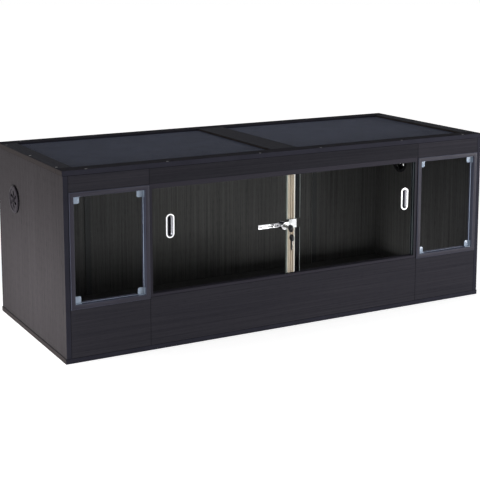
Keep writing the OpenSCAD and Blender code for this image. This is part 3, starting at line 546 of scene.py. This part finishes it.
EXTRUDED = (0.0200, 0.0185, 0.0250)
level_extrusion = plastic("level_extrusion", EXTRUDED, (0.5, 0.6), stretch=(0.02, 1, 1),
                          **{"Specular IOR Level": 0.04})
upright_extrusion = plastic("upright_extrusion", EXTRUDED, (0.5, 0.6), stretch=(1, 1, 0.02),
                            **{"Specular IOR Level": 0.04})
jamb_flank_highlight = plastic("jamb_flank_highlight", (0.095, 0.115, 0.125), (0.4, 0.5), stretch=(1, 1, 0.02),
                    **{"Specular IOR Level": 0.1})

for node, finish in (("upper_door_track", level_extrusion), ("lower_door_track", level_extrusion),
                     ("left_door_jamb", upright_extrusion), ("right_door_jamb", upright_extrusion)):
    channel = eased(node, 0.25 * MM)
    paint(channel, "track_plastic", finish, jamb_flank_highlight)
    for face in channel.data.polygons:
        face.material_index = int(finish is upright_extrusion and abs(face.normal.x) > 0.9)
    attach(channel, "cabinet")


# ---- Doors ----
# Two panes of 4 mm glass with ground and polished edges, which look dark green.

glass = clear("door_glass", (0.975, 0.98, 0.976), 0.0, 1.3)
glass_edge = plastic("ground_glass_edge", (0.070, 0.080, 0.070), (0.2, 0.35), depth=0.01 * MM)
for side in ("left", "right"):
    door = eased(side + "_door_glass", 0.3 * MM)
    paint(door, "glass", glass, glass_edge)
    paint_edges(door, 1, 1)
    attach(door, side + "_door")


# ---- Finger pulls ----
# Shallow oval cups set through the glass, moulded in silver-plated plastic. Their walls are painted darker
# than the rim and their floor nearly black, as painted shade in the cup.

def make_scratch_group():
    """Fine scratches in two directions, as a roughness and a height."""
    tree, given, out = new_group("fine_scratches", {"Vector": "Vector", "Low": "Float", "High": "Float"},
                                 {"Roughness": "Float", "Height": "Float"})
    lines = [add_noise(tree, given.outputs["Vector"], scale, Detail=2.0)
             for scale in ((60, 1500, 1500), (1500, 1500, 60))]
    both = add_math(tree, "MULTIPLY", add_math(tree, "ADD", *lines), 0.5)
    tree.links.new(add_range(tree, both, 0.35, 0.65, given.outputs["Low"], given.outputs["High"]),
                   out.inputs["Roughness"])
    tree.links.new(both, out.inputs["Height"])
    return tree


scratch_group = make_scratch_group()


def metal(name, color, rough, depth=0.004 * MM):
    """Bare or plated metal with fine scratches."""
    material, tree = new_material(name)
    where = add_node(tree, "ShaderNodeTexCoord")
    scratch = add_node(tree, "ShaderNodeGroup", {}, node_tree=scratch_group)
    scratch.inputs["Low"].default_value, scratch.inputs["High"].default_value = rough
    tree.links.new(where.outputs["Object"], scratch.inputs["Vector"])
    shade(tree, {"Base Color": (*color, 1), "Metallic": 1.0, "Roughness": scratch.outputs["Roughness"],
                 "Height": scratch.outputs["Height"]}, depth=depth)
    return material


plated = metal("plated_plastic", (0.84, 0.84, 0.86), (0.12, 0.22))
# Painted shade: the cup's walls are darker than its rim, and its floor nearly black
cup_shaded_wall = metal("plated_cup_wall", (0.36, 0.36, 0.39), (0.25, 0.35))
cup_shaded_floor = metal("plated_cup_floor", (0.006, 0.006, 0.008), (0.15, 0.3))
RIM_W, RIM_DEPTH = 3 * MM, 0.9 * MM
FLOOR_ZONE = 3 * MM, 4.5 * MM
FLOOR_DEPTH = 3.5 * MM
FLOOR_SHARE_X, FLOOR_SHARE_Z = 0.5, 0.9
for side in ("left", "right"):
    pull = eased(side + "_finger_pull", 0.75 * MM)
    paint(pull, "pull_plastic", plated, cup_shaded_wall, cup_shaded_floor)
    low, high = (Vector(corner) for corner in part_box(side + "_finger_pull"))
    middle = (low + high) / 2
    # The cup's walls slope in towards its floor
    reach_x, reach_z = ((high - low)[axis] / 2 - RIM_W for axis in (0, 2))
    for vert in pull.data.vertices:
        out = vert.co - middle
        at_floor = FLOOR_ZONE[0] < vert.co.y - low.y < FLOOR_ZONE[1]
        if at_floor and abs(out.x) < reach_x and abs(out.z) < reach_z:
            vert.co.x = middle.x + FLOOR_SHARE_X * out.x
            vert.co.z = middle.z + FLOOR_SHARE_Z * out.z
    for face in pull.data.polygons:
        depth = face.center.y - low.y
        if depth > FLOOR_DEPTH and face.normal.y < -0.9:
            face.material_index = 2
        elif depth > RIM_DEPTH:
            face.material_index = 1
    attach(pull, side + "_door")


# ---- Door seal ----
# A milky ribbed strip, extruded in soft plastic and pushed over the edge of the rear glass. Its right edge is
# a clear fin with a bead, tinted grey as painted shade, and its ribs beside each edge are painted lighter, as
# painted highlights.

seal_plastic = plastic("seal_plastic", (0.63, 0.55, 0.46), (0.3, 0.45), depth=0.02 * MM, stretch=(1, 1, 0.02),
                       **{"Transmission Weight": 0.05, "IOR": 1.4})
seal_edge = plastic("seal_edge", (0.36, 0.40, 0.38), (0.2, 0.3), depth=0.01 * MM, stretch=(1, 1, 0.02))
# Painted highlight: the ribs beside each edge are painted lighter
seal_rib_highlight = plastic("seal_rib_highlight", (0.86, 0.82, 0.74), (0.2, 0.3), depth=0.01 * MM, stretch=(1, 1, 0.02))
# Painted shade: the clear fin is tinted grey, which stands in for shade beside the seal's body
seal_shade_film = clear("seal_shade_film", (0.72, 0.74, 0.78), 0.15, 1.04)
seal_bead = plastic("seal_bead", (0.16, 0.18, 0.18), (0.2, 0.3), depth=0.01 * MM, stretch=(1, 1, 0.02))
EDGE_W, BRIGHT_RIB_W = 0.6 * MM, 5 * MM
BEAD_W, FILM_W, FIN_ROOT_W = 1.6 * MM, 15.2 * MM, 19 * MM
seal = eased("door_seal", 0.15 * MM)
paint(seal, "seal_plastic", seal_plastic, seal_edge, seal_shade_film, seal_bead, seal_rib_highlight)
low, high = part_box("door_seal")
for face in seal.data.polygons:
    from_left, from_right = face.center.x - low[0], high[0] - face.center.x
    if from_right < BEAD_W:
        face.material_index = 3
    elif from_right < FILM_W:
        face.material_index = 2
    elif from_left < EDGE_W:
        face.material_index = 1
    elif from_left < BRIGHT_RIB_W or from_right < FIN_ROOT_W:
        face.material_index = 4
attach(seal, "left_door")


# ---- Ratchet lock ----
# A plated steel bar hooked over the edge of the rear glass on a rubber pad, and the barrel that
# slides along it.

chrome = metal("chrome_plate", (0.64, 0.64, 0.66), (0.05, 0.12))
rubber = plastic("pad_rubber", (0.015, 0.015, 0.015), (0.75, 0.9), depth=0.04 * MM)
for node, slot, finish, body, radius in (("ratchet_bar", "chrome", chrome, "left_door", 0.2),
                                         ("hook_pad", "pad_rubber", rubber, "left_door", 0.4),
                                         ("lock_barrel", "chrome", chrome, "lock", 0.25)):
    piece = eased(node, radius * MM)
    paint(piece, slot, finish)
    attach(piece, body)


# ---- Keys ----
# A nickelled plug and two nickelled blades with black moulded heads. The spare key hangs from the
# other on a split ring, which is a flat coil of two turns of steel wire.

nickel = metal("nickel_plate", (0.30, 0.30, 0.29), (0.2, 0.34))
key_plastic = plastic("key_plastic", (0.010, 0.010, 0.012), (0.35, 0.5), depth=0.03 * MM)
for node, slot, finish, body, radius in (
        ("lock_plug", "steel", nickel, "key", 0.2), ("key_blade", "steel", nickel, "key", 0.15),
        ("key_head", "key_plastic", key_plastic, "key", 0.3),
        ("spare_key_blade", "steel", nickel, "spare_key", 0.15),
        ("spare_key_head", "key_plastic", key_plastic, "spare_key", 0.3)):
    piece = eased(node, radius * MM)
    paint(piece, slot, finish)
    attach(piece, body)


def put_in_order(bm):
    """Orders points and faces by place, because some operators order them anew on each run."""
    def place(point):
        return tuple(round(value, 7) for value in point)

    ranked = sorted(bm.verts, key=lambda vert: place(vert.co))
    rank = {vert: i for i, vert in enumerate(ranked)}
    bm.verts.sort(key=rank.get)
    ranked = sorted(bm.faces, key=lambda face: (place(face.calc_center_median()), place(face.normal)))
    rank = {face: i for i, face in enumerate(ranked)}
    bm.faces.sort(key=rank.get)


def make_split_ring(node):
    """A wire section spun through nearly two turns, with its second turn behind its first."""
    low, high = (Vector(corner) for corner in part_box(node))
    middle = (low + high) / 2
    wire = (high.y - low.y) / 2
    steps, winding = 80, math.radians(712)
    bm = bmesh.new()
    start = Matrix.Translation(middle + Vector(((high.x - low.x - wire) / 2, -wire / 2, 0)))
    bmesh.ops.create_circle(bm, segments=8, radius=wire * 0.48, matrix=start)
    bmesh.ops.spin(bm, geom=bm.verts[:] + bm.edges[:], cent=middle, axis=(0, 1, 0), dvec=(0, wire / steps, 0),
                   angle=winding, steps=steps, use_merge=False)
    bmesh.ops.holes_fill(bm, edges=bm.edges, sides=8)
    bmesh.ops.recalc_face_normals(bm, faces=bm.faces)
    put_in_order(bm)
    return finish_piece(bm, node)


ring = make_split_ring("key_ring")
paint(ring, "steel", nickel)
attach(ring, "key")


# ---- Vents ----
# Black moulded flange with a petal grille, a shutter behind it and a liner inside the side board.

vent_plastic = plastic("vent_plastic", (0.0155, 0.0126, 0.0168), (0.4, 0.55),
                       **{"Specular IOR Level": 0.05})
# Painted shade: the shutter and the side walls of the flange and knob are painted near black, darker than the
# flange's face
vent_shade_plastic = plastic("vent_painted_shade", (0.004, 0.004, 0.005), (0.2, 0.3), **{"Specular IOR Level": 0.3})
liner_plastic = plastic("liner_plastic", (0.012, 0.012, 0.013), (0.12, 0.2), **{"Specular IOR Level": 0.5})
for side in ("left", "right"):
    for part, body, radius, finish in (
            ("_vent_flange", "cabinet", 0.25, vent_plastic),
            ("_vent_liner", "cabinet", 0.5, liner_plastic),
            ("_vent_shutter", side + "_shutter", 0.2, vent_shade_plastic),
            ("_vent_knob", side + "_shutter", 0.3, vent_plastic)):
        piece = eased(side + part, radius * MM)
        paint(piece, "vent_plastic", finish, vent_shade_plastic)
        # The side walls of the flange and knob take the painted shade
        for face in piece.data.polygons:
            face.material_index = int(finish is vent_plastic and abs(face.normal.x) < 0.7)
        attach(piece, body)


# ---- Screws and dowels ----
# Countersunk cross-head screws, turned from steel and zinc plated, hold the top and the base to the
# boards. Beech dowels join the boards.

zinc = metal("zinc_plate", (0.28, 0.28, 0.28), (0.28, 0.42))


def solid_centres(node):
    """The middle of each separate solid of a CAD node."""
    bm = bmesh.new()
    bm.from_mesh(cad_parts[node].data)
    bmesh.ops.remove_doubles(bm, verts=bm.verts, dist=0.005 * MM)
    left, centres = set(bm.verts), []
    while left:
        group, front = set(), [left.pop()]
        while front:
            vert = front.pop()
            group.add(vert)
            near = {edge.other_vert(vert) for edge in vert.link_edges} & left
            left -= near
            front.extend(near)
        xs, ys, zs = zip(*(vert.co for vert in group))
        centres.append(Vector(((min(xs) + max(xs)) / 2, (min(ys) + max(ys)) / 2, (min(zs) + max(zs)) / 2)))
    bm.free()
    return sorted(centres, key=lambda centre: (round(centre.x, 4), round(centre.y, 4)))


def make_screw(bm, length):
    """One screw with its head at the origin and its point down -Z. The cross is sunk into the head."""
    head_r, shank_r, rim = 3.5 * MM, 1.7 * MM, 0.25 * MM
    head_h = head_r - shank_r
    tip = 2 * shank_r
    profile = ((0, 0), (head_r - rim, 0), (head_r, -rim), (shank_r, -head_h),
               (shank_r, tip - length), (0, -length))
    verts = [bm.verts.new((r, 0, z)) for r, z in profile]
    edges = [bm.edges.new(pair) for pair in zip(verts, verts[1:])]
    bmesh.ops.spin(bm, geom=verts + edges, cent=(0, 0, 0), axis=(0, 0, 1), angle=2 * math.pi,
                   steps=16, use_merge=True)
    bmesh.ops.remove_doubles(bm, verts=bm.verts, dist=0.001 * MM)
    bmesh.ops.recalc_face_normals(bm, faces=bm.faces)
    top = [f for f in bm.faces if f.normal.z > 0.99]
    bmesh.ops.dissolve_faces(bm, faces=top)
    half_slot, half_cross, cross_depth, floor_share = 0.55 * MM, 2.1 * MM, 1.5 * MM, 0.45
    for axis in (0, 1):
        for place in (-half_cross, -half_slot, half_slot, half_cross):
            flat = [f for f in bm.faces if f.normal.z > 0.99]
            around = dict.fromkeys([e for f in flat for e in f.edges] + [v for f in flat for v in f.verts])
            point = Vector((0, 0, 0))
            point[axis] = place
            normal = Vector((0, 0, 0))
            normal[axis] = 1
            bmesh.ops.bisect_plane(bm, geom=flat + list(around), plane_co=point, plane_no=normal)
    cross = []
    for face in bm.faces:
        middle = face.calc_center_median()
        near, far = sorted((abs(middle.x), abs(middle.y)))
        if face.normal.z > 0.99 and near < half_slot and far < half_cross:
            cross.append(face)
    sunk = bmesh.ops.extrude_face_region(bm, geom=cross)["geom"]
    bmesh.ops.delete(bm, geom=cross, context="FACES_ONLY")
    floor = [item for item in sunk if isinstance(item, bmesh.types.BMVert)]
    bmesh.ops.scale(bm, vec=(floor_share, floor_share, 1), verts=floor)
    bmesh.ops.translate(bm, vec=(0, 0, -cross_depth), verts=floor)


def make_screws(node, facing):
    """A screw at each solid of a CAD node, with its head up (1) or down (-1), each turned its own way."""
    turn_step = 0.7
    low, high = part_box(node)
    one = bmesh.new()
    make_screw(one, high[2] - low[2])
    mould = bpy.data.meshes.new(node + "_mould")
    one.to_mesh(mould)
    one.free()
    bm = bmesh.new()
    for i, centre in enumerate(solid_centres(node)):
        before = len(bm.verts)
        bm.from_mesh(mould)
        bm.verts.ensure_lookup_table()
        place = Vector((centre.x, centre.y, high[2] if facing > 0 else low[2]))
        turn = Matrix.Rotation(turn_step * i, 4, "Z")
        flip = Matrix.Rotation(0 if facing > 0 else math.pi, 4, "X")
        bmesh.ops.transform(bm, matrix=Matrix.Translation(place) @ flip @ turn, verts=bm.verts[before:])
    bpy.data.meshes.remove(mould)
    put_in_order(bm)
    return finish_piece(bm, node)


for node, facing in (("top_screws", 1), ("base_screws", -1)):
    screws = make_screws(node, facing)
    paint(screws, "steel", zinc)
    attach(screws, "cabinet")

beech = laminate("bare_beech", (0.30, 0.19, 0.10), (0.45, 0.31, 0.18), gloss=0.3)
paint(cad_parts["panel_dowels"], None, beech)
